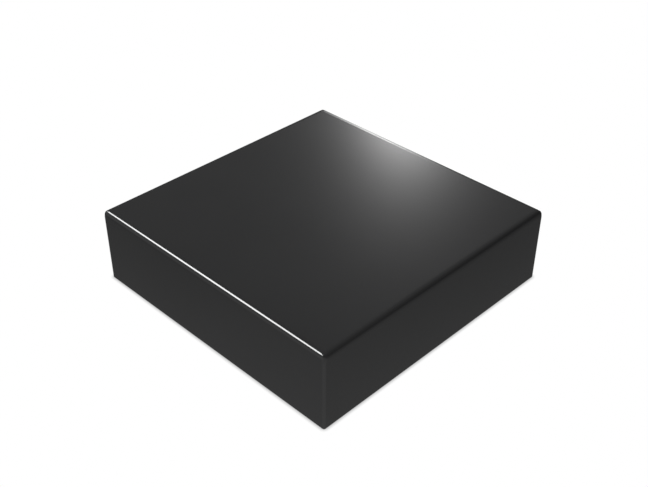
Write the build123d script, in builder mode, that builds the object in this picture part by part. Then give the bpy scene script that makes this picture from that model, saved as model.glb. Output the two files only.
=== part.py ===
"""A square, low apple box of plywood sheets, in millimetres.

The box stands on z = 0 with the origin at the centre of its underside. X runs along its
length, Y along its width, and the front faces -Y. A top sheet lies over four mitred walls,
a bottom sheet is let into a rabbet under them, and two cross-lapped dividers and four
corner blocks carry the load between the two sheets.
"""

import os
from math import sqrt

from build123d import *

# Outside of the box
box_length = 381.0
box_width = 381.0
box_height = 101.6
top_edge_radius = 6.35
corner_radius = 3.2
bottom_arris = 0.5

# Sheets
top_thickness = 18.0
wall_thickness = 18.0
bottom_thickness = 12.0
divider_thickness = 15.0

# Joints between the sheets
rabbet_width = 9.0
dado_depth = 5.0
spline_thickness = 6.0
spline_width = 16.0
spline_from_inside = 9.0
spline_rise = 8.0

# Corner blocks
block_size = 30.0
block_chamfer = 8.0

# Dowels between the walls and the top sheet
dowel_diameter = 8.0
dowel_in_wall = 15.0
dowel_in_top = 13.0
dowel_inset = 80.0
dowel_chamfer = 0.8
flute_count = 10
flute_radius = 0.5

# Flat-head wood screws
screw_diameter = 4.0
screw_root_diameter = 2.7
screw_head_diameter = 8.0
screw_head_rim = 0.3
screw_pitch = 1.8
screw_ridge_width = 1.5
screw_crest_width = 0.2
screw_thread_length = 16.0
screw_head_sink = 0.3
recess_length = 4.4
recess_width = 1.1
recess_depth = 1.7
recess_taper = 8.0
block_screw_bite = 11.0
block_screw_drop = 14.0
block_screw_spacing = 16.0
bottom_screw_bite = 18.0
divider_screw_inset = 90.0

# Clearances
sheet_clearance = 0.25
slip_clearance = 0.1
dowel_clearance = 0.05
screw_clearance = 0.05
tip_clearance = 1.0

# Places worked out from the sizes above
wall_top = box_height - top_thickness
inner_x = box_length / 2 - wall_thickness
inner_y = box_width / 2 - wall_thickness
cavity_height = wall_top - bottom_thickness
lap_height = cavity_height / 2
slot_length = box_length - 2 * (wall_thickness - dado_depth)
slot_width = box_width - 2 * (wall_thickness - dado_depth)
slot_thickness = divider_thickness + 2 * slip_clearance
bottom_opening_length = box_length - 2 * (wall_thickness - rabbet_width)
bottom_opening_width = box_width - 2 * (wall_thickness - rabbet_width)
spline_bottom = bottom_thickness + spline_rise
corners = {
    "front_left": (-1, -1),
    "front_right": (1, -1),
    "back_right": (1, 1),
    "back_left": (-1, 1),
}


def save(part, name):
    """Label a finished piece and write it to its own file."""
    part.label = name
    export_step(part, f"parts/{name}.step")


def draw_spline(side_x, side_y, clearance):
    """Draw the plan of the spline in one corner's mitre, grown by a clearance all round."""
    from_inside = spline_from_inside / sqrt(2)
    with Locations((side_x * (inner_x + from_inside), side_y * (inner_y + from_inside))):
        Rectangle(
            spline_width + 2 * clearance,
            spline_thickness + 2 * clearance,
            rotation=-45 * side_x * side_y,
        )


def wood_screw(length):
    """A flat-head screw, driven down from a surface at z = 0, with its tip at z = -length."""
    head_radius = screw_head_diameter / 2
    crest_radius = screw_diameter / 2
    root_radius = screw_root_diameter / 2
    head_top = -screw_head_sink
    rim_bottom = head_top - screw_head_rim
    thread_end = -length + crest_radius
    profile = [
        (0, head_top),
        (head_radius, head_top),
        (head_radius, rim_bottom),
        (root_radius, rim_bottom - head_radius + root_radius),
    ]
    for turn in reversed(range(int(screw_thread_length / screw_pitch))):
        crest = thread_end + (turn + 0.5) * screw_pitch
        profile.append((root_radius, crest + screw_ridge_width / 2))
        profile.append((crest_radius, crest + screw_crest_width / 2))
        profile.append((crest_radius, crest - screw_crest_width / 2))
        profile.append((root_radius, crest - screw_ridge_width / 2))
    profile.append((root_radius, thread_end))
    profile.append((0, -length))
    with BuildPart() as screw:
        with BuildSketch(Plane.XZ):
            with BuildLine():
                Polyline(*profile, close=True)
            make_face()
        revolve(axis=Axis.Z)
        with BuildSketch(Plane.XY.offset(head_top)):
            Rectangle(recess_length, recess_width)
            Rectangle(recess_width, recess_length)
        extrude(amount=-recess_depth, taper=recess_taper, mode=Mode.SUBTRACT)
    return screw.part


def cut_screw_holes(planes, length):
    """Cut the countersunk hole of each screw out of the piece that is being built."""
    mouth_radius = screw_head_diameter / 2 + screw_head_rim + screw_head_sink
    with Locations(*planes):
        CounterSinkHole(
            radius=screw_diameter / 2 + screw_clearance,
            counter_sink_radius=mouth_radius + screw_clearance,
            depth=length + tip_clearance,
            counter_sink_angle=90,
        )


# Each screw has a plane on the surface that it is driven into, facing the driver.
block_middle_x = inner_x - block_size / 2
block_middle_y = inner_y - block_size / 2
divider_screw_x = box_length / 2 - divider_screw_inset
divider_screw_y = box_width / 2 - divider_screw_inset

# Bottom screws, one into each corner block and one into each arm of the dividers
bottom_screw_length = bottom_thickness + bottom_screw_bite
bottom_screw_places = [(x * block_middle_x, y * block_middle_y) for x, y in corners.values()]
bottom_screw_places += [(-divider_screw_x, 0), (divider_screw_x, 0)]
bottom_screw_places += [(0, -divider_screw_y), (0, divider_screw_y)]
bottom_screw_planes = [Plane(origin=(x, y, 0), z_dir=(0, 0, -1)) for x, y in bottom_screw_places]

# Block screws, two through each corner block, one into each of its two walls
block_screw_length = block_size + block_screw_bite
upper_screw_height = wall_top - block_screw_drop
lower_screw_height = upper_screw_height - block_screw_spacing
block_screw_planes = []
for side_x, side_y in corners.values():
    upper = (side_x * block_middle_x, side_y * (inner_y - block_size), upper_screw_height)
    lower = (side_x * (inner_x - block_size), side_y * block_middle_y, lower_screw_height)
    block_screw_planes.append(Plane(origin=upper, z_dir=(0, -side_y, 0)))
    block_screw_planes.append(Plane(origin=lower, z_dir=(-side_x, 0, 0)))

# The rounded outside that the walls and the top sheet are trimmed to
with BuildPart() as outside:
    with BuildSketch():
        RectangleRounded(box_length, box_width, corner_radius)
    extrude(amount=box_height)
    fillet(outside.faces().sort_by(Axis.Z)[-1].edges(), top_edge_radius)
    chamfer(outside.faces().sort_by(Axis.Z)[0].edges(), bottom_arris)

# Room for the dividers between the bottom and the top sheet, down to the floor of each dado
with BuildPart() as divider_slots:
    with BuildSketch(Plane.XY.offset(bottom_thickness)):
        Rectangle(slot_length, slot_thickness)
        Rectangle(slot_thickness, slot_width)
    extrude(amount=cavity_height)

# Slots for the splines, open at the top of the walls
with BuildPart() as spline_slots:
    with BuildSketch(Plane.XY.offset(spline_bottom)):
        for side_x, side_y in corners.values():
            draw_spline(side_x, side_y, slip_clearance)
    extrude(amount=wall_top - spline_bottom)

# Dowels, two in the top of each wall
dowel_x = box_length / 2 - dowel_inset
dowel_y = box_width / 2 - dowel_inset
wall_middle_x = box_length / 2 - wall_thickness / 2
wall_middle_y = box_width / 2 - wall_thickness / 2
dowel_places = [(x * dowel_x, y * wall_middle_y) for x, y in corners.values()]
dowel_places += [(x * wall_middle_x, y * dowel_y) for x, y in corners.values()]

with BuildPart() as dowel:
    with BuildSketch(Plane.XY.offset(wall_top - dowel_in_wall)):
        Circle(dowel_diameter / 2)
    extrude(amount=dowel_in_wall + dowel_in_top)
    chamfer(dowel.edges().filter_by(GeomType.CIRCLE), dowel_chamfer)
    with BuildSketch(Plane.XY.offset(wall_top - dowel_in_wall)):
        with PolarLocations(dowel_diameter / 2, flute_count):
            Circle(flute_radius)
    extrude(amount=dowel_in_wall + dowel_in_top, mode=Mode.SUBTRACT)

with BuildPart() as dowel_holes:
    with BuildSketch(Plane.XY.offset(wall_top - dowel_in_wall - tip_clearance)):
        with Locations(*dowel_places):
            Circle(dowel_diameter / 2 + dowel_clearance)
    extrude(amount=dowel_in_wall + dowel_in_top + 2 * tip_clearance)

os.makedirs("parts", exist_ok=True)

# Top sheet, laid over the walls
with BuildPart() as top_panel:
    with BuildSketch(Plane.XY.offset(wall_top)):
        Rectangle(box_length, box_width)
    extrude(amount=top_thickness)
    add(outside.part, mode=Mode.INTERSECT)
    add(dowel_holes.part, mode=Mode.SUBTRACT)
save(top_panel.part, "top_panel")

# Walls, mitred to each other, each between two corners of the box
outer_corners = [(x * box_length / 2, y * box_width / 2) for x, y in corners.values()]
inner_corners = [(x * inner_x, y * inner_y) for x, y in corners.values()]
for start, name in enumerate(["front_wall", "right_wall", "back_wall", "left_wall"]):
    end = (start + 1) % len(corners)
    with BuildPart() as wall:
        with BuildSketch():
            with BuildLine():
                Polyline(
                    outer_corners[start],
                    outer_corners[end],
                    inner_corners[end],
                    inner_corners[start],
                    close=True,
                )
            make_face()
        extrude(amount=wall_top)
        add(outside.part, mode=Mode.INTERSECT)
        with BuildSketch():
            Rectangle(bottom_opening_length, bottom_opening_width)
        extrude(amount=bottom_thickness, mode=Mode.SUBTRACT)
        add(divider_slots.part, mode=Mode.SUBTRACT)
        add(spline_slots.part, mode=Mode.SUBTRACT)
        add(dowel_holes.part, mode=Mode.SUBTRACT)
        cut_screw_holes(block_screw_planes, block_screw_length)
    save(wall.part, name)

# Bottom sheet, in the walls' rabbet, its lower edges eased
with BuildPart() as bottom_panel:
    with BuildSketch():
        Rectangle(
            bottom_opening_length - 2 * sheet_clearance,
            bottom_opening_width - 2 * sheet_clearance,
        )
    extrude(amount=bottom_thickness)
    chamfer(bottom_panel.faces().sort_by(Axis.Z)[0].edges(), bottom_arris)
    cut_screw_holes(bottom_screw_planes, bottom_screw_length)
save(bottom_panel.part, "bottom_panel")

# Divider along X, notched from above where the other crosses it
with BuildPart() as lengthwise_divider:
    with BuildSketch(Plane.XY.offset(bottom_thickness)):
        Rectangle(slot_length - 2 * slip_clearance, divider_thickness)
    extrude(amount=cavity_height)
    with BuildSketch(Plane.XY.offset(wall_top)):
        Rectangle(slot_thickness, slot_thickness)
    extrude(amount=-lap_height, mode=Mode.SUBTRACT)
    cut_screw_holes(bottom_screw_planes, bottom_screw_length)
save(lengthwise_divider.part, "lengthwise_divider")

# Divider along Y, notched from below
with BuildPart() as crosswise_divider:
    with BuildSketch(Plane.XY.offset(bottom_thickness)):
        Rectangle(divider_thickness, slot_width - 2 * slip_clearance)
    extrude(amount=cavity_height)
    with BuildSketch(Plane.XY.offset(bottom_thickness)):
        Rectangle(slot_thickness, slot_thickness)
    extrude(amount=lap_height, mode=Mode.SUBTRACT)
    cut_screw_holes(bottom_screw_planes, bottom_screw_length)
save(crosswise_divider.part, "crosswise_divider")

# Corner blocks, their inner arris cut back
for name, (side_x, side_y) in corners.items():
    near_x = side_x * inner_x
    near_y = side_y * inner_y
    far_x = side_x * (inner_x - block_size)
    far_y = side_y * (inner_y - block_size)
    with BuildPart() as block:
        with BuildSketch(Plane.XY.offset(bottom_thickness)):
            with BuildLine():
                Polyline(
                    (near_x, near_y),
                    (far_x, near_y),
                    (far_x, far_y + side_y * block_chamfer),
                    (far_x + side_x * block_chamfer, far_y),
                    (near_x, far_y),
                    close=True,
                )
            make_face()
        extrude(amount=cavity_height)
        cut_screw_holes(block_screw_planes, block_screw_length)
        cut_screw_holes(bottom_screw_planes, bottom_screw_length)
    save(block.part, f"{name}_block")

# Splines across the mitres
for name, (side_x, side_y) in corners.items():
    with BuildPart() as spline:
        with BuildSketch(Plane.XY.offset(spline_bottom)):
            draw_spline(side_x, side_y, 0)
        extrude(amount=wall_top - spline_bottom)
    save(spline.part, f"{name}_spline")

# Dowels and screws, one group for each kind
with BuildPart() as top_dowels:
    with Locations(*dowel_places):
        add(dowel.part)
save(top_dowels.part, "top_dowels")

with BuildPart() as block_screws:
    with Locations(*block_screw_planes):
        add(wood_screw(block_screw_length))
save(block_screws.part, "block_screws")

with BuildPart() as bottom_screws:
    with Locations(*bottom_screw_planes):
        add(wood_screw(bottom_screw_length))
save(bottom_screws.part, "bottom_screws")
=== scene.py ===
"""A square, low apple box in black lacquer, in metres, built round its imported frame.

The lacquered shell (top sheet, four mitred walls and bottom sheet) is modelled here with
rolled edges and its joinery. The dividers, corner blocks, splines, dowels and screws inside
keep the shapes that the frame gives them, and get bare wood or blackened steel.
"""

import math

import bpy
from mathutils import Matrix, Vector


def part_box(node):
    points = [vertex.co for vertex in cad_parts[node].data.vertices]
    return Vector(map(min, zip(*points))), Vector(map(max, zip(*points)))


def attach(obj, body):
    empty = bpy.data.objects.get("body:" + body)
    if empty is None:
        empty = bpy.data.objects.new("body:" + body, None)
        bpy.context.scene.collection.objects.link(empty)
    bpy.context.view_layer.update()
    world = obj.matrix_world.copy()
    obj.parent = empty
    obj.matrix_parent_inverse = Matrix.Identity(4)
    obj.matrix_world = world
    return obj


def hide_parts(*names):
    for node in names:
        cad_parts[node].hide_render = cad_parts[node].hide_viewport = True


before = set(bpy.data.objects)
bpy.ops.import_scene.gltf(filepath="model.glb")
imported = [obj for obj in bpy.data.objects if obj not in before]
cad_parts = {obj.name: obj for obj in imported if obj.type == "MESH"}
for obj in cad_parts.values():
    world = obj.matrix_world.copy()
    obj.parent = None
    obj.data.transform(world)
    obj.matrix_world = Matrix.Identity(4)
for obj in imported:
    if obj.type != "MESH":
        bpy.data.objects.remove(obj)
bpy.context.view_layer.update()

MM = 0.001

# Edges of the shell: how far a roll reaches from its edge, and how full its curve is
TOP_EDGE_ROLL = 9.5 * MM
CORNER_ROLL = 3.8 * MM
BOTTOM_ARRIS = 0.5 * MM
ROLL_FULLNESS = 0.665
ROLL_STEPS = 24
ARRIS_STEPS = 2

# Joinery cut into the sheets
RABBET_WIDTH = 9 * MM
DADO_DEPTH = 5 * MM
SPLINE_WIDTH = 16 * MM
SPLINE_THICKNESS = 6 * MM
SPLINE_FROM_INSIDE = 9 * MM
SPLINE_RISE = 8 * MM
SLIP = 0.1 * MM
DOWEL_HOLE_RADIUS = 4.05 * MM
DOWEL_INSET = 80 * MM
DOWEL_HOLE_IN_WALL = 16 * MM
DOWEL_HOLE_IN_TOP = 14 * MM
SCREW_HOLE_RADIUS = 2.05 * MM
SCREW_HOLE_IN_WALL = 12 * MM
COUNTERSINK_RADIUS = 4.65 * MM
DIVIDER_SCREW_INSET = 90 * MM

# How far below the top of the walls the screws through the corner blocks are: the upper
# ones go into the front and back walls, the lower ones into the left and right walls
UPPER_SCREW_DROP = 14 * MM
LOWER_SCREW_DROP = 30 * MM

# Working values: the sides of a round cutter, how far a cutter reaches past the wood, how
# close a point is to a line that it lies on, and how close two points are that become one
HOLE_SIDES = 48
PAST = 2 * MM
NEAR = 0.01 * MM
MERGE = 0.0005 * MM

# Shading: edges flatter than this are smooth, and flat faces steer the normals beside them
SMOOTH_ANGLE = math.radians(30)
FLATS_WEIGHT = 100

# Sizes and places from the frame
top_low, top_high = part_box("top_panel")
sheet_low, sheet_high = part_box("bottom_panel")
front_low, front_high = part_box("front_wall")
block_low, block_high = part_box("front_left_block")
divider_low, divider_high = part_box("lengthwise_divider")
HALF_LENGTH = top_high.x
HALF_WIDTH = top_high.y
HEIGHT = top_high.z
WALL_TOP = top_low.z
WALL = front_high.y - front_low.y
BOTTOM = sheet_high.z
BLOCK = block_high.x - block_low.x
DIVIDER = divider_high.y - divider_low.y
CORNERS = {
    "front_left": (-1, -1),
    "front_right": (1, -1),
    "back_right": (1, 1),
    "back_left": (-1, 1),
}


# --- Making and shaping solids ----------------------------------------------------------------


def deselect():
    bpy.ops.object.select_all(action="DESELECT")


def make_active(piece):
    deselect()
    piece.select_set(True)
    bpy.context.view_layer.objects.active = piece


def settle(piece):
    """Put a piece's place, turn and size into its mesh, so that it sits at the origin."""
    make_active(piece)
    bpy.ops.object.transform_apply(location=True, rotation=True, scale=True)


def blank(name, low, high, turn=0.0):
    """A rectangular blank between two corners, turned about its own upright middle line."""
    low, high = Vector(low), Vector(high)
    deselect()
    bpy.ops.mesh.primitive_cube_add(size=1, location=(low + high) / 2, rotation=(0, 0, turn))
    piece = bpy.context.object
    piece.name = name
    piece.scale = high - low
    settle(piece)
    return piece


def peg(start, end, start_radius, end_radius=None):
    """A round cutter from one point to another, straight or tapered."""
    start, end = Vector(start), Vector(end)
    along = end - start
    deselect()
    bpy.ops.mesh.primitive_cone_add(
        vertices=HOLE_SIDES,
        radius1=start_radius,
        radius2=start_radius if end_radius is None else end_radius,
        depth=along.length,
        location=(start + end) / 2,
        rotation=along.to_track_quat("Z", "Y").to_euler(),
    )
    piece = bpy.context.object
    settle(piece)
    return piece


def modify(piece, kind, **settings):
    """Add a modifier, set it and apply it."""
    make_active(piece)
    modifier = piece.modifiers.new(kind.lower(), kind)
    for name, value in settings.items():
        setattr(modifier, name, value)
    bpy.ops.object.modifier_apply(modifier=modifier.name)


def ends(mesh, edge):
    """The places of an edge's two ends."""
    return [mesh.vertices[i].co for i in edge.vertices]


def pick_edges(piece, wanted):
    """Select the edges whose two ends pass a test, and stay in edit mode."""
    mesh = piece.data
    bpy.ops.object.mode_set(mode="EDIT")
    bpy.ops.mesh.select_mode(type="EDGE")
    bpy.ops.mesh.select_all(action="DESELECT")
    bpy.ops.object.mode_set(mode="OBJECT")
    for edge in mesh.edges:
        edge.select = wanted(*ends(mesh, edge))
    bpy.ops.object.mode_set(mode="EDIT")


def roll_edges(piece, wanted, reach, steps, fullness=0.5):
    """Bevel the chosen edges; a fuller roll is tighter in its middle and fades out longer."""
    make_active(piece)
    pick_edges(piece, wanted)
    bpy.ops.mesh.bevel(
        offset_type="OFFSET",
        offset=reach,
        segments=steps,
        profile=fullness,
        affect="EDGES",
        clamp_overlap=False,
    )
    bpy.ops.object.mode_set(mode="OBJECT")


def saw(piece, point, normal):
    """Cut a piece along a plane and throw away what the normal points at."""
    make_active(piece)
    bpy.ops.object.mode_set(mode="EDIT")
    bpy.ops.mesh.select_all(action="SELECT")
    bpy.ops.mesh.bisect(
        plane_co=point,
        plane_no=normal,
        use_fill=True,
        clear_outer=True,
        clear_inner=False,
    )
    bpy.ops.object.mode_set(mode="OBJECT")


def cut(piece, cutter):
    """Take a cutter's shape out of a piece."""
    modify(piece, "BOOLEAN", operation="DIFFERENCE", solver="EXACT", object=cutter)
    bpy.data.objects.remove(cutter)


def finish_mesh(piece):
    """Merge doubled points, and shade curves smooth while the flats stay flat."""
    make_active(piece)
    bpy.ops.object.mode_set(mode="EDIT")
    bpy.ops.mesh.select_all(action="SELECT")
    bpy.ops.mesh.remove_doubles(threshold=MERGE)
    bpy.ops.mesh.normals_make_consistent(inside=False)
    bpy.ops.object.mode_set(mode="OBJECT")
    bpy.ops.object.shade_smooth_by_angle(angle=SMOOTH_ANGLE)
    modify(piece, "WEIGHTED_NORMAL", mode="FACE_AREA", weight=FLATS_WEIGHT, keep_sharp=True)


def turned_copy(piece, name, angle):
    """A copy with its own mesh, turned about the upright line through the middle of the box."""
    copy = piece.copy()
    copy.data = piece.data.copy()
    copy.name = name
    bpy.context.scene.collection.objects.link(copy)
    copy.rotation_euler.z = angle
    settle(copy)
    return copy


# --- The top sheet ----------------------------------------------------------------------------


def dowel_places():
    """The middle of each dowel, two over every wall."""
    in_x = HALF_LENGTH - WALL / 2
    in_y = HALF_WIDTH - WALL / 2
    arm_x = HALF_LENGTH - DOWEL_INSET
    arm_y = HALF_WIDTH - DOWEL_INSET
    places = [(x * arm_x, y * in_y) for x, y in CORNERS.values()]
    return places + [(x * in_x, y * arm_y) for x, y in CORNERS.values()]


def weigh_top_edges(mesh):
    """Give the upper edges of the blank the whole roll, and the upright ones a share of it."""
    weights = mesh.attributes.new("bevel_weight_edge", "FLOAT", "EDGE").data
    for edge in mesh.edges:
        a, b = ends(mesh, edge)
        if abs(a.z - b.z) > NEAR:
            weights[edge.index].value = CORNER_ROLL / TOP_EDGE_ROLL
        elif a.z > HEIGHT - NEAR:
            weights[edge.index].value = 1


def top_sheet():
    """The lid: rolled along its upper edges and down its corners, bored below for the dowels."""
    piece = blank("rolled_top_sheet", top_low, top_high)
    weigh_top_edges(piece.data)
    modify(
        piece,
        "BEVEL",
        limit_method="WEIGHT",
        offset_type="OFFSET",
        width=TOP_EDGE_ROLL,
        segments=ROLL_STEPS,
        profile=ROLL_FULLNESS,
        use_clamp_overlap=False,
    )
    for x, y in dowel_places():
        low = (x, y, WALL_TOP - PAST)
        high = (x, y, WALL_TOP + DOWEL_HOLE_IN_TOP)
        cut(piece, peg(low, high, DOWEL_HOLE_RADIUS))
    finish_mesh(piece)
    return piece


# --- The walls: each is made as it stands at the front, its inner face at y = inside ----------


def roll_wall_edges(piece, face, inside):
    """Roll the outer upright edges of a wall, and ease its foot except along the inside."""

    def outer_corner(a, b):
        return abs(a.z - b.z) > NEAR and max(a.y, b.y) < face + NEAR

    def lower_outline(a, b):
        return max(a.z, b.z) < NEAR and min(a.y, b.y) < inside - NEAR

    roll_edges(piece, outer_corner, CORNER_ROLL, ROLL_STEPS, ROLL_FULLNESS)
    roll_edges(piece, lower_outline, BOTTOM_ARRIS, ARRIS_STEPS)


def cut_rabbet(piece, half, inside):
    """The step along the foot of a wall that takes the bottom sheet."""
    low = (-half, inside - RABBET_WIDTH, -PAST)
    high = (half, inside + PAST, BOTTOM)
    cut(piece, blank("rabbet", low, high))


def cut_dado(piece, inside):
    """The upright groove in the middle of a wall that takes the end of a divider."""
    half_width = DIVIDER / 2 + SLIP
    low = (-half_width, inside - DADO_DEPTH, BOTTOM - PAST)
    high = (half_width, inside + PAST, WALL_TOP + PAST)
    cut(piece, blank("dado", low, high))


def cut_spline_slot(piece, side, half, inside):
    """The slot square to one mitre, open at the top, that takes half of a spline."""
    off = SPLINE_FROM_INSIDE / math.sqrt(2)
    x = side * (half - WALL + off)
    y = inside - off
    across = SPLINE_WIDTH / 2 + SLIP
    thick = SPLINE_THICKNESS / 2 + SLIP
    low = (x - across, y - thick, BOTTOM + SPLINE_RISE)
    high = (x + across, y + thick, WALL_TOP + PAST)
    cut(piece, blank("spline_slot", low, high, side * math.radians(45)))


def cut_dowel_hole(piece, side, half, inside):
    """The hole in the top of a wall for the dowel near one end."""
    x = side * (half - DOWEL_INSET)
    y = inside - WALL / 2
    low = (x, y, WALL_TOP - DOWEL_HOLE_IN_WALL)
    high = (x, y, WALL_TOP + PAST)
    cut(piece, peg(low, high, DOWEL_HOLE_RADIUS))


def cut_screw_hole(piece, side, half, inside, drop):
    """The hole in the inner face of a wall for the screw through one corner block."""
    x = side * (half - WALL - BLOCK / 2)
    z = WALL_TOP - drop
    mouth = (x, inside + PAST, z)
    tip = (x, inside - SCREW_HOLE_IN_WALL, z)
    cut(piece, peg(mouth, tip, SCREW_HOLE_RADIUS))


def wall(name, half, reach, screw_drop):
    """A mitred wall: half its length, how far out its face is, and how low its screws are."""
    inside = WALL - reach
    piece = blank(name, (-half, -reach, 0), (half, inside, WALL_TOP))
    roll_wall_edges(piece, -reach, inside)
    for side in (-1, 1):
        saw(piece, (side * half, -reach, 0), (side, 1, 0))
    cut_rabbet(piece, half, inside)
    cut_dado(piece, inside)
    for side in (-1, 1):
        cut_spline_slot(piece, side, half, inside)
        cut_dowel_hole(piece, side, half, inside)
        cut_screw_hole(piece, side, half, inside, screw_drop)
    finish_mesh(piece)
    return piece


# --- The bottom sheet -------------------------------------------------------------------------


def bottom_screw_places():
    """The middle of each screw: one under every corner block, two under every divider."""
    in_x = HALF_LENGTH - WALL - BLOCK / 2
    in_y = HALF_WIDTH - WALL - BLOCK / 2
    arm_x = HALF_LENGTH - DIVIDER_SCREW_INSET
    arm_y = HALF_WIDTH - DIVIDER_SCREW_INSET
    places = [(x * in_x, y * in_y) for x, y in CORNERS.values()]
    return places + [(-arm_x, 0), (arm_x, 0), (0, -arm_y), (0, arm_y)]


def bottom_sheet():
    """The bottom sheet, eased below, with a countersunk hole for each screw."""
    piece = blank("eased_bottom_sheet", sheet_low, sheet_high)
    roll_edges(piece, lambda a, b: max(a.z, b.z) < NEAR, BOTTOM_ARRIS, ARRIS_STEPS)
    sink = COUNTERSINK_RADIUS - SCREW_HOLE_RADIUS
    mouth = COUNTERSINK_RADIUS + PAST
    for x, y in bottom_screw_places():
        cut(piece, peg((x, y, -PAST), (x, y, sink), mouth, SCREW_HOLE_RADIUS))
        cut(piece, peg((x, y, 0), (x, y, BOTTOM + PAST), SCREW_HOLE_RADIUS))
    finish_mesh(piece)
    return piece


# --- Shader maths -----------------------------------------------------------------------------


# The sockets of a Mix node that is set to colours
MIX_FACTOR = 0
MIX_FIRST = 6
MIX_SECOND = 7
MIX_RESULT = 2


class Value:
    """A number socket that takes part in Python arithmetic."""

    def __init__(self, graph, socket):
        self.graph = graph
        self.socket = socket

    def math(self, operation, *others):
        """This value, and others after it, through one Math node."""
        inputs = dict(enumerate((self, *others)))
        return self.graph.value("ShaderNodeMath", {"operation": operation}, inputs)

    def __add__(self, other):
        return self.math("ADD", other)

    def __sub__(self, other):
        return self.math("SUBTRACT", other)

    def __mul__(self, other):
        return self.math("MULTIPLY", other)

    def __truediv__(self, other):
        return self.math("DIVIDE", other)

    def __rsub__(self, other):
        return self.graph.value(
            "ShaderNodeMath", {"operation": "SUBTRACT"}, {0: other, 1: self}
        )

    __radd__ = __add__
    __rmul__ = __mul__

    def ramp(self, start, end):
        """0 below start, 1 above end, and a smooth rise between them."""
        return self.graph.value(
            "ShaderNodeMapRange",
            {"interpolation_type": "SMOOTHSTEP"},
            {"Value": self, "From Min": start, "From Max": end},
            "Result",
        )


class Graph:
    """The nodes of one material or world."""

    def __init__(self, owner):
        owner.use_nodes = True
        self.tree = owner.node_tree
        self.tree.nodes.clear()

    def plug(self, target, value):
        """Link a value or a socket to an input, or set the input to a number or a colour."""
        if isinstance(value, Value):
            value = value.socket
        if isinstance(value, bpy.types.NodeSocket):
            self.tree.links.new(value, target)
        else:
            target.default_value = value

    def node(self, kind, settings=None, inputs=None):
        """Add a node, set its settings, then set or link its inputs."""
        made = self.tree.nodes.new(kind)
        for name, value in (settings or {}).items():
            setattr(made, name, value)
        for key, value in (inputs or {}).items():
            self.plug(made.inputs[key], value)
        return made

    def value(self, kind, settings=None, inputs=None, output=0):
        """Add a node and take one of its outputs as a value."""
        return Value(self, self.node(kind, settings, inputs).outputs[output])

    def place(self, centre=(0, 0, 0), turn=(0, 0, 0)):
        """Object coordinates measured from a centre, in axes that are turned."""
        where = self.node("ShaderNodeTexCoord").outputs["Object"]
        return self.node(
            "ShaderNodeMapping",
            {"vector_type": "TEXTURE"},
            {"Vector": where, "Location": centre, "Rotation": turn},
        ).outputs[0]

    def stretch(self, vector, scale):
        """A vector scaled by its own amount on each axis."""
        return self.node(
            "ShaderNodeVectorMath", {"operation": "MULTIPLY"}, {0: vector, 1: scale}
        ).outputs[0]

    def noise(self, vector, scale, detail=2.0, roughness=0.5, distortion=0.0):
        return self.value(
            "ShaderNodeTexNoise",
            {},
            {
                "Vector": vector,
                "Scale": scale,
                "Detail": detail,
                "Roughness": roughness,
                "Distortion": distortion,
            },
        )

    def grain(self, vector, scale, detail=2.0, roughness=0.5, distortion=0.0):
        """Noise that is drawn out by its own amount on each axis."""
        return self.noise(self.stretch(vector, scale), 1, detail, roughness, distortion)

    def mix(self, factor, first, second):
        """Mix two colours, each a tuple or a socket."""
        inputs = {MIX_FACTOR: factor, MIX_FIRST: first, MIX_SECOND: second}
        return self.node("ShaderNodeMix", {"data_type": "RGBA"}, inputs).outputs[MIX_RESULT]

    def bump(self, height, distance):
        return self.node(
            "ShaderNodeBump", {}, {"Height": height, "Distance": distance}
        ).outputs[0]

    def surface(self, shader):
        """End a material in a shader."""
        self.node("ShaderNodeOutputMaterial", {}, {"Surface": shader.outputs[0]})

    def finish(self, inputs):
        """End a material in a Principled shader."""
        self.surface(self.node("ShaderNodeBsdfPrincipled", {}, inputs))


def rgb(red, green, blue):
    return (red, green, blue, 1.0)


def new_material(name):
    material = bpy.data.materials.new(name)
    return material, Graph(material)


# --- Finishes ---------------------------------------------------------------------------------

# Black lacquer: two close tones in clouds, and a haze and an orange peel too faint to see alone
LACQUER_TONE = rgb(0.0094, 0.0095, 0.0098)
LACQUER_TONE_DEEP = rgb(0.0084, 0.0085, 0.0088)
LACQUER_CLOUDS = 9
LACQUER_CLOUD_EDGES = (0.35, 0.65)
LACQUER_ROUGHNESS = 0.125
LACQUER_HAZE = 26
LACQUER_HAZE_SWING = 0.012
LACQUER_PEEL = 420
LACQUER_PEEL_HEIGHT = 0.0015 * MM
LACQUER_IOR = 1.5


def black_lacquer():
    """Sprayed black lacquer: deep, satin-gloss, with a trace of orange peel."""
    material, g = new_material("black_lacquer")
    where = g.place()
    clouds = g.noise(where, LACQUER_CLOUDS, detail=3)
    peel = g.noise(where, LACQUER_PEEL)
    haze = g.noise(where, LACQUER_HAZE, detail=4, roughness=0.6)
    tone = g.mix(clouds.ramp(*LACQUER_CLOUD_EDGES), LACQUER_TONE_DEEP, LACQUER_TONE)
    g.finish(
        {
            "Base Color": tone,
            "Roughness": (haze - 0.5) * LACQUER_HAZE_SWING + LACQUER_ROUGHNESS,
            "IOR": LACQUER_IOR,
            "Normal": g.bump(peel, LACQUER_PEEL_HEIGHT),
        }
    )
    return material


# Bare birch plywood: its tones, and how fine its grain is along, across and through the sheet
FACE_VENEER = rgb(0.66, 0.50, 0.33)
FACE_VENEER_DARK = rgb(0.52, 0.36, 0.21)
PLY_LONG = rgb(0.62, 0.46, 0.29)
PLY_END = rgb(0.36, 0.23, 0.13)
GLUE_LINE = rgb(0.13, 0.075, 0.04)
LONG_GRAIN = (9, 120, 120)
CROSS_GRAIN = (160, 12, 160)
PORE_GRAIN = (90, 1400, 1400)
LONG_GRAIN_EDGES = (0.3, 0.75)
CROSS_GRAIN_EDGES = (0.3, 0.7)
PORE_EDGES = (0.62, 0.75)
PORE_DARKNESS = 0.35

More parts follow.
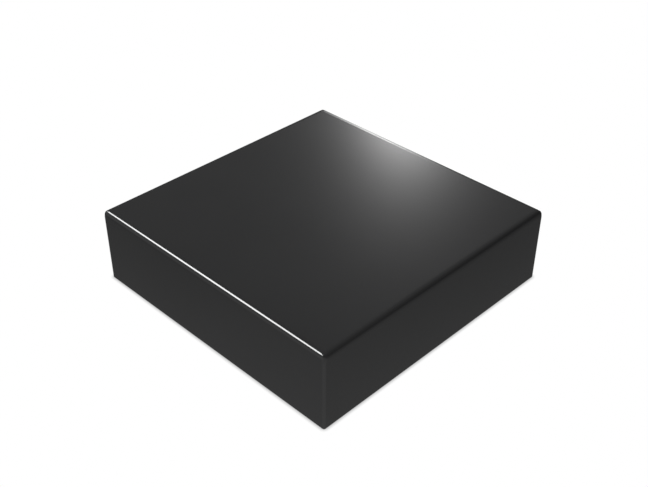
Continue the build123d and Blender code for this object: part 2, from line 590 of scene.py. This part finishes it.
# A glue line is this share of a ply, solid in its own middle share, and not quite opaque
GLUE_SHARE = 0.07
GLUE_CORE = 0.4
GLUE_DARKNESS = 0.75
PLY_MARGIN = 0.001

PLYWOOD_ROUGHNESS = 0.55
PLYWOOD_ROUGHNESS_SWING = 0.15
PLYWOOD_RELIEF = 0.06 * MM

# How many plies each sheet has
SHELL_PLIES = 13
BOTTOM_PLIES = 9
DIVIDER_PLIES = 11
SPLINE_PLIES = 5


def birch_plywood(name, centre, turn, thickness, plies):
    """Bare birch plywood. Before turning, its plies lie on Z and its face grain runs along X."""
    material, g = new_material(name)
    local = g.place(centre, turn)
    height = g.value("ShaderNodeSeparateXYZ", {}, {0: local}, "Z")
    # Which ply a point is in, counted from the first, and how far it is through that ply
    ply = (height / thickness + 0.5) * plies
    ply = ply.math("MAXIMUM", PLY_MARGIN).math("MINIMUM", plies - PLY_MARGIN)
    crossed = ply.math("FLOOR").math("MODULO", 2.0)
    within = ply.math("FRACT")
    edge = within.math("MINIMUM", 1 - within)
    glue = 1 - edge.ramp(GLUE_SHARE * GLUE_CORE, GLUE_SHARE)
    along = g.grain(local, LONG_GRAIN, detail=4, roughness=0.6, distortion=0.6)
    across = g.grain(local, CROSS_GRAIN, detail=4, roughness=0.6, distortion=0.4)
    pores = g.grain(local, PORE_GRAIN)
    face = g.mix(along.ramp(*LONG_GRAIN_EDGES), FACE_VENEER_DARK, FACE_VENEER)
    core = g.mix(across.ramp(*CROSS_GRAIN_EDGES), PLY_END, PLY_LONG)
    wood = g.mix(crossed, face, core)
    wood = g.mix(pores.ramp(*PORE_EDGES) * PORE_DARKNESS, wood, GLUE_LINE)
    tone = g.mix(glue * GLUE_DARKNESS, wood, GLUE_LINE)
    g.finish(
        {
            "Base Color": tone,
            "Roughness": along * PLYWOOD_ROUGHNESS_SWING + PLYWOOD_ROUGHNESS,
            "Normal": g.bump(pores - glue, PLYWOOD_RELIEF),
        }
    )
    return material


# Solid woods: their light and dark streaks, their flecks, and how fine the two are
POPLAR = (rgb(0.60, 0.52, 0.34), rgb(0.44, 0.38, 0.22), rgb(0.30, 0.24, 0.13), 60, 700)
BEECH = (rgb(0.62, 0.42, 0.26), rgb(0.50, 0.31, 0.18), rgb(0.26, 0.13, 0.07), 150, 1500)
STREAK_DRAW = 14
FLECK_DRAW = 9
STREAK_EDGES = (0.3, 0.7)
FLECK_EDGES = (0.6, 0.72)
FLECK_DARKNESS = 0.5
SOLID_WOOD_ROUGHNESS = 0.52
SOLID_WOOD_ROUGHNESS_SWING = 0.12
SOLID_WOOD_RELIEF = 0.05 * MM


def solid_wood(name, light, dark, fleck, streak_scale, fleck_scale):
    """Bare solid wood with its grain upright: long streaks and short flecks."""
    material, g = new_material(name)
    where = g.place()
    streak_stretch = (streak_scale, streak_scale, streak_scale / STREAK_DRAW)
    fleck_stretch = (fleck_scale, fleck_scale, fleck_scale / FLECK_DRAW)
    streaks = g.grain(where, streak_stretch, detail=5, roughness=0.6, distortion=0.5)
    flecks = g.grain(where, fleck_stretch)
    tone = g.mix(streaks.ramp(*STREAK_EDGES), dark, light)
    tone = g.mix(flecks.ramp(*FLECK_EDGES) * FLECK_DARKNESS, tone, fleck)
    g.finish(
        {
            "Base Color": tone,
            "Roughness": streaks * SOLID_WOOD_ROUGHNESS_SWING + SOLID_WOOD_ROUGHNESS,
            "Normal": g.bump(flecks, SOLID_WOOD_RELIEF),
        }
    )
    return material


# Blackened steel: the oxide, and thin spots in it where the metal shows
OXIDE = rgb(0.035, 0.034, 0.033)
THIN_OXIDE = rgb(0.11, 0.105, 0.10)
OXIDE_PATCHES = 700
OXIDE_PATCH_EDGES = (0.55, 0.8)
OXIDE_GRIT = 3800
OXIDE_GRIT_HEIGHT = 0.01 * MM
OXIDE_METALLIC = 0.85
OXIDE_ROUGHNESS = 0.28
OXIDE_ROUGHNESS_SWING = 0.2


def black_screw_steel():
    """Blackened steel: dark oxide, thin where the driver and the wood rub."""
    material, g = new_material("black_screw_steel")
    where = g.place()
    patches = g.noise(where, OXIDE_PATCHES, detail=4, roughness=0.6)
    grit = g.noise(where, OXIDE_GRIT)
    g.finish(
        {
            "Base Color": g.mix(patches.ramp(*OXIDE_PATCH_EDGES), OXIDE, THIN_OXIDE),
            "Metallic": OXIDE_METALLIC,
            "Roughness": patches * OXIDE_ROUGHNESS_SWING + OXIDE_ROUGHNESS,
            "Normal": g.bump(grit, OXIDE_GRIT_HEIGHT),
        }
    )
    return material


# --- Building the shell and finishing the inside ----------------------------------------------

# How a sheet's plies are turned: lying flat, or upright and facing along Y or X
QUARTER = math.pi / 2
LYING = (0, 0, 0)
FACING_Y = (QUARTER, 0, 0)
FACING_X = (QUARTER, 0, QUARTER)

# A lacquered face lies within this of the outside, and has this share of its normal outwards
SKIN = 3 * MM
OUTWARD = 0.3


def coat(piece, bare, is_outside, lacquer):
    """Lacquer the faces that pass a test, and leave the others bare."""
    piece.data.materials.clear()
    piece.data.materials.append(lacquer)
    piece.data.materials.append(bare)
    for face in piece.data.polygons:
        face.material_index = 0 if is_outside(face.center, face.normal) else 1


def stand_for(piece, node):
    """Let a finished piece stand for its node."""
    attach(piece, "root")
    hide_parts(node)


def middle(node):
    low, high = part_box(node)
    return (low + high) / 2


def lay_top(lacquer):
    """The top sheet: all but its underside and the dowel holes is lacquered."""

    def is_outside(centre, normal):
        within_x = abs(centre.x) < HALF_LENGTH - SKIN
        within_y = abs(centre.y) < HALF_WIDTH - SKIN
        hidden = (within_x and within_y) or normal.z < -OUTWARD
        return normal.z > OUTWARD or not hidden

    piece = top_sheet()
    thickness = HEIGHT - WALL_TOP
    bare = birch_plywood("birch_top", middle("top_panel"), LYING, thickness, SHELL_PLIES)
    coat(piece, bare, is_outside, lacquer)
    stand_for(piece, "top_panel")


def raise_wall(piece, node, out, reach, turn, lacquer):
    """One wall: its outer face and its foot are lacquered."""

    def is_outside(centre, normal):
        on_face = normal.dot(out) > OUTWARD and centre.dot(out) > reach - SKIN
        at_foot = normal.z < -OUTWARD and centre.z < BOTTOM_ARRIS
        return on_face or at_foot

    bare = birch_plywood("birch_" + node, middle(node), turn, WALL, SHELL_PLIES)
    coat(piece, bare, is_outside, lacquer)
    stand_for(piece, node)


def raise_walls(lacquer):
    """The four walls: the left is the right one turned round, and the back the front."""
    front = wall("mitred_front_wall", HALF_LENGTH, HALF_WIDTH, UPPER_SCREW_DROP)
    right = wall("mitred_right_wall", HALF_WIDTH, HALF_LENGTH, LOWER_SCREW_DROP)
    right.rotation_euler.z = QUARTER
    settle(right)
    back = turned_copy(front, "mitred_back_wall", 2 * QUARTER)
    left = turned_copy(right, "mitred_left_wall", 2 * QUARTER)
    raise_wall(front, "front_wall", Vector((0, -1, 0)), HALF_WIDTH, FACING_Y, lacquer)
    raise_wall(right, "right_wall", Vector((1, 0, 0)), HALF_LENGTH, FACING_X, lacquer)
    raise_wall(back, "back_wall", Vector((0, 1, 0)), HALF_WIDTH, FACING_Y, lacquer)
    raise_wall(left, "left_wall", Vector((-1, 0, 0)), HALF_LENGTH, FACING_X, lacquer)


def lay_bottom(lacquer):
    """The bottom sheet: its underside is lacquered."""

    def is_outside(centre, normal):
        return normal.z < -OUTWARD and centre.z < BOTTOM_ARRIS

    piece = bottom_sheet()
    bare = birch_plywood("birch_bottom", middle("bottom_panel"), LYING, BOTTOM, BOTTOM_PLIES)
    coat(piece, bare, is_outside, lacquer)
    stand_for(piece, "bottom_panel")


def build_shell():
    """The six lacquered sheets."""
    lacquer = black_lacquer()
    lay_top(lacquer)
    raise_walls(lacquer)
    lay_bottom(lacquer)


def dress(node, material):
    """Give a frame node that keeps its own shape its finish."""
    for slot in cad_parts[node].material_slots:
        slot.link = "OBJECT"
        slot.material = material


def dress_plywood(node, turn, thickness, plies):
    """Make a node's own plywood, with the plies lying in its sheet."""
    dress(node, birch_plywood("birch_" + node, middle(node), turn, thickness, plies))


def dress_inside():
    """Finish the wood and steel inside the shell."""
    dress_plywood("lengthwise_divider", FACING_Y, DIVIDER, DIVIDER_PLIES)
    dress_plywood("crosswise_divider", FACING_X, DIVIDER, DIVIDER_PLIES)
    poplar = solid_wood("poplar", *POPLAR)
    for corner, (side_x, side_y) in CORNERS.items():
        turn = (QUARTER, 0, -side_x * side_y * QUARTER / 2)
        dress_plywood(corner + "_spline", turn, SPLINE_THICKNESS, SPLINE_PLIES)
        dress(corner + "_block", poplar)
    dress("top_dowels", solid_wood("beech", *BEECH))
    steel = black_screw_steel()
    dress("block_screws", steel)
    dress("bottom_screws", steel)


# --- Studio -----------------------------------------------------------------------------------

# Angles are in degrees: azimuths from +X towards +Y, elevations up from the horizon

# The level of the room that the box mirrors, and of the white that the eye sees instead of it
ROOM_LEVEL = 0.139
WHITE_LEVEL = 1.0

# Soft round lights: azimuth and elevation of the middle, how far from it the light ends, how
# far it is full, and its level. The level of dark_floor is taken away from the others.
SOFT_LIGHTS = {
    "key": (200.5, 49, 16.5, 6.5, 23.0),
    "beside_key": (228, 12, 42, 8, 0.35),
    "overhead": (140, 60, 50, 5, 0.18),
    "right_wash": (38, 46, 27, 6, 0.12),
    "front_wash": (315, -16, 100.5, 41, 0.55),
    "dark_floor": (0, -90, 60, 20, -0.05),
    "low_behind": (135, -50, 60, 25, 0.45),
}

# The bright opening behind the box, and the lit wall and floor below it, one strip under the
# other: azimuth and elevation of the middle, half-width, half-height and level. The opening
# fades out by a power and has no end. A strip ends at its oval, and a share of it, its core,
# is full. Both are dark on the far side of the room, past a short fade.
OPENING = (129.3, 25, 2.38, 4.34, 17.9)
OPENING_FADE = 2.2
LIT_STRIPS = (
    (126.2, 14, 4.0, 11, 2.7),
    (124.7, -2, 3.8, 11, 2.5),
    (126.6, -16, 3.8, 10, 1.4),
    (130.5, -28, 4.2, 10, 0.65),
)
STRIP_CORE = 0.35
AHEAD_FADE = 0.1

# The white sweep, and its painted contact shadow: how near the box it darkens and by how much
FLOOR_SIZE = 16
FLOOR_DROP = 0.2 * MM
CONTACT_SHADOW_REACH = 4.6 * MM
CONTACT_SHADOW_DEPTH = 0.9
CONTACT_SAMPLES = 12

# The camera: what it looks at, where it stands from there, its lens and sensor in
# millimetres, and the nearest and farthest that it sees
CAMERA_AIM = (0, 1.22 * MM, 50.8 * MM)
CAMERA_FROM = (-45.31, 35.327)
CAMERA_DISTANCE = 1.2346
CAMERA_ROLL = 0.173
CAMERA_LENS = 54.71
CAMERA_SENSOR = 36
CAMERA_NEAREST = 0.05
CAMERA_FARTHEST = 60


def sine(degrees):
    return math.sin(math.radians(degrees))


def cosine(degrees):
    return math.cos(math.radians(degrees))


def towards(azimuth, elevation):
    """The direction at an azimuth and an elevation."""
    flat = cosine(elevation)
    return Vector((cosine(azimuth) * flat, sine(azimuth) * flat, sine(elevation)))


def white_floor():
    """A wide white sweep that glows bare white, with a painted contact shadow: darker in a fine
    line where the box meets it.
    """
    deselect()
    bpy.ops.mesh.primitive_plane_add(size=FLOOR_SIZE, location=(0, 0, -FLOOR_DROP))
    floor = bpy.context.object
    floor.name = "white_floor"
    settle(floor)
    material, g = new_material("white_sweep_and_painted_shadow")
    settings = {"samples": CONTACT_SAMPLES}
    openness = g.value(
        "ShaderNodeAmbientOcclusion", settings, {"Distance": CONTACT_SHADOW_REACH}, "AO"
    )
    # Ambient occlusion darkens the glowing floor near the box: a painted contact shadow, not one
    # cast by a lamp
    level = 1 - (1 - openness) * CONTACT_SHADOW_DEPTH
    glow = g.node("ShaderNodeEmission", {}, {"Color": level})
    clear = g.node("ShaderNodeBsdfTransparent")
    from_below = g.value("ShaderNodeNewGeometry", {}, {}, "Backfacing")
    sockets = {0: from_below, 1: glow.outputs[0], 2: clear.outputs[0]}
    g.surface(g.node("ShaderNodeMixShader", {}, sockets))
    floor.data.materials.append(material)
    floor.visible_diffuse = False
    floor.visible_glossy = False
    floor.visible_shadow = False


def dot(g, direction, axis):
    return g.value(
        "ShaderNodeVectorMath", {"operation": "DOT_PRODUCT"}, {0: direction, 1: axis}, "Value"
    )


def spread(g, direction, azimuth, elevation, half_width, half_height):
    """How far a direction is from the middle of an oval, and whether it is on the oval's side.

    The first is a square, and is 1 on the oval's line. The second is 1 on the oval's side of
    the room and 0 on the far side.
    """
    axis = towards(azimuth, elevation)
    sideways = axis.cross(Vector((0, 0, 1))).normalized()
    upwards = sideways.cross(axis)
    across = dot(g, direction, sideways) / sine(half_width)
    along = dot(g, direction, upwards) / sine(half_height)
    ahead = dot(g, direction, axis).ramp(0, AHEAD_FADE)
    return across * across + along * along, ahead


def soft_light(g, direction, azimuth, elevation, end, full, level):
    """A round light that is even near its middle and fades out to its end."""
    facing = dot(g, direction, towards(azimuth, elevation))
    return facing.ramp(cosine(end), cosine(full)) * level


def opening(g, direction, azimuth, elevation, half_width, half_height, level):
    """A bright oval whose light dies away gently round it."""
    away, ahead = spread(g, direction, azimuth, elevation, half_width, half_height)
    return ahead * level / (away + 1).math("POWER", OPENING_FADE)


def lit_strip(g, direction, azimuth, elevation, half_width, half_height, level):
    """An oval that is even in its core and fades out to its line."""
    away, ahead = spread(g, direction, azimuth, elevation, half_width, half_height)
    inwards = 1 - away.math("SQRT")
    return ahead * inwards.ramp(0, 1 - STRIP_CORE) * level


def room():
    """The light from all round.

    It is plain white to the eye. The box mirrors a dim even room with its soft lights and the
    bright opening.
    """
    world = bpy.data.worlds.new("white_room")
    bpy.context.scene.world = world
    g = Graph(world)
    direction = g.node("ShaderNodeTexCoord").outputs["Generated"]
    lights = [soft_light(g, direction, *light) for light in SOFT_LIGHTS.values()]
    lights.append(opening(g, direction, *OPENING))
    lights += [lit_strip(g, direction, *strip) for strip in LIT_STRIPS]
    level = sum(lights, ROOM_LEVEL)
    seen = g.value("ShaderNodeLightPath", {}, {}, "Is Camera Ray")
    shown = seen * WHITE_LEVEL + (1 - seen) * level
    background = g.node("ShaderNodeBackground", {}, {"Color": rgb(1, 1, 1), "Strength": shown})
    g.node("ShaderNodeOutputWorld", {}, {"Surface": background.outputs[0]})


def camera():
    """The camera, looking down at the near corner."""
    data = bpy.data.cameras.new("camera")
    data.lens = CAMERA_LENS
    data.sensor_width = CAMERA_SENSOR
    data.clip_start = CAMERA_NEAREST
    data.clip_end = CAMERA_FARTHEST
    holder = bpy.data.objects.new("camera", data)
    bpy.context.scene.collection.objects.link(holder)
    back = towards(*CAMERA_FROM)
    look = (-back).to_track_quat("-Z", "Y").to_matrix().to_4x4()
    roll = Matrix.Rotation(math.radians(CAMERA_ROLL), 4, "Z")
    holder.location = Vector(CAMERA_AIM) + back * CAMERA_DISTANCE
    holder.rotation_mode = "QUATERNION"
    holder.rotation_quaternion = (look @ roll).to_quaternion()
    bpy.context.scene.camera = holder


def colour_management():
    """Colours as they are, with no look, exposure or gamma added."""
    view = bpy.context.scene.view_settings
    view.view_transform = "Standard"
    view.look = "None"
    view.exposure = 0
    view.gamma = 1


build_shell()
dress_inside()
white_floor()
room()
camera()
colour_management()
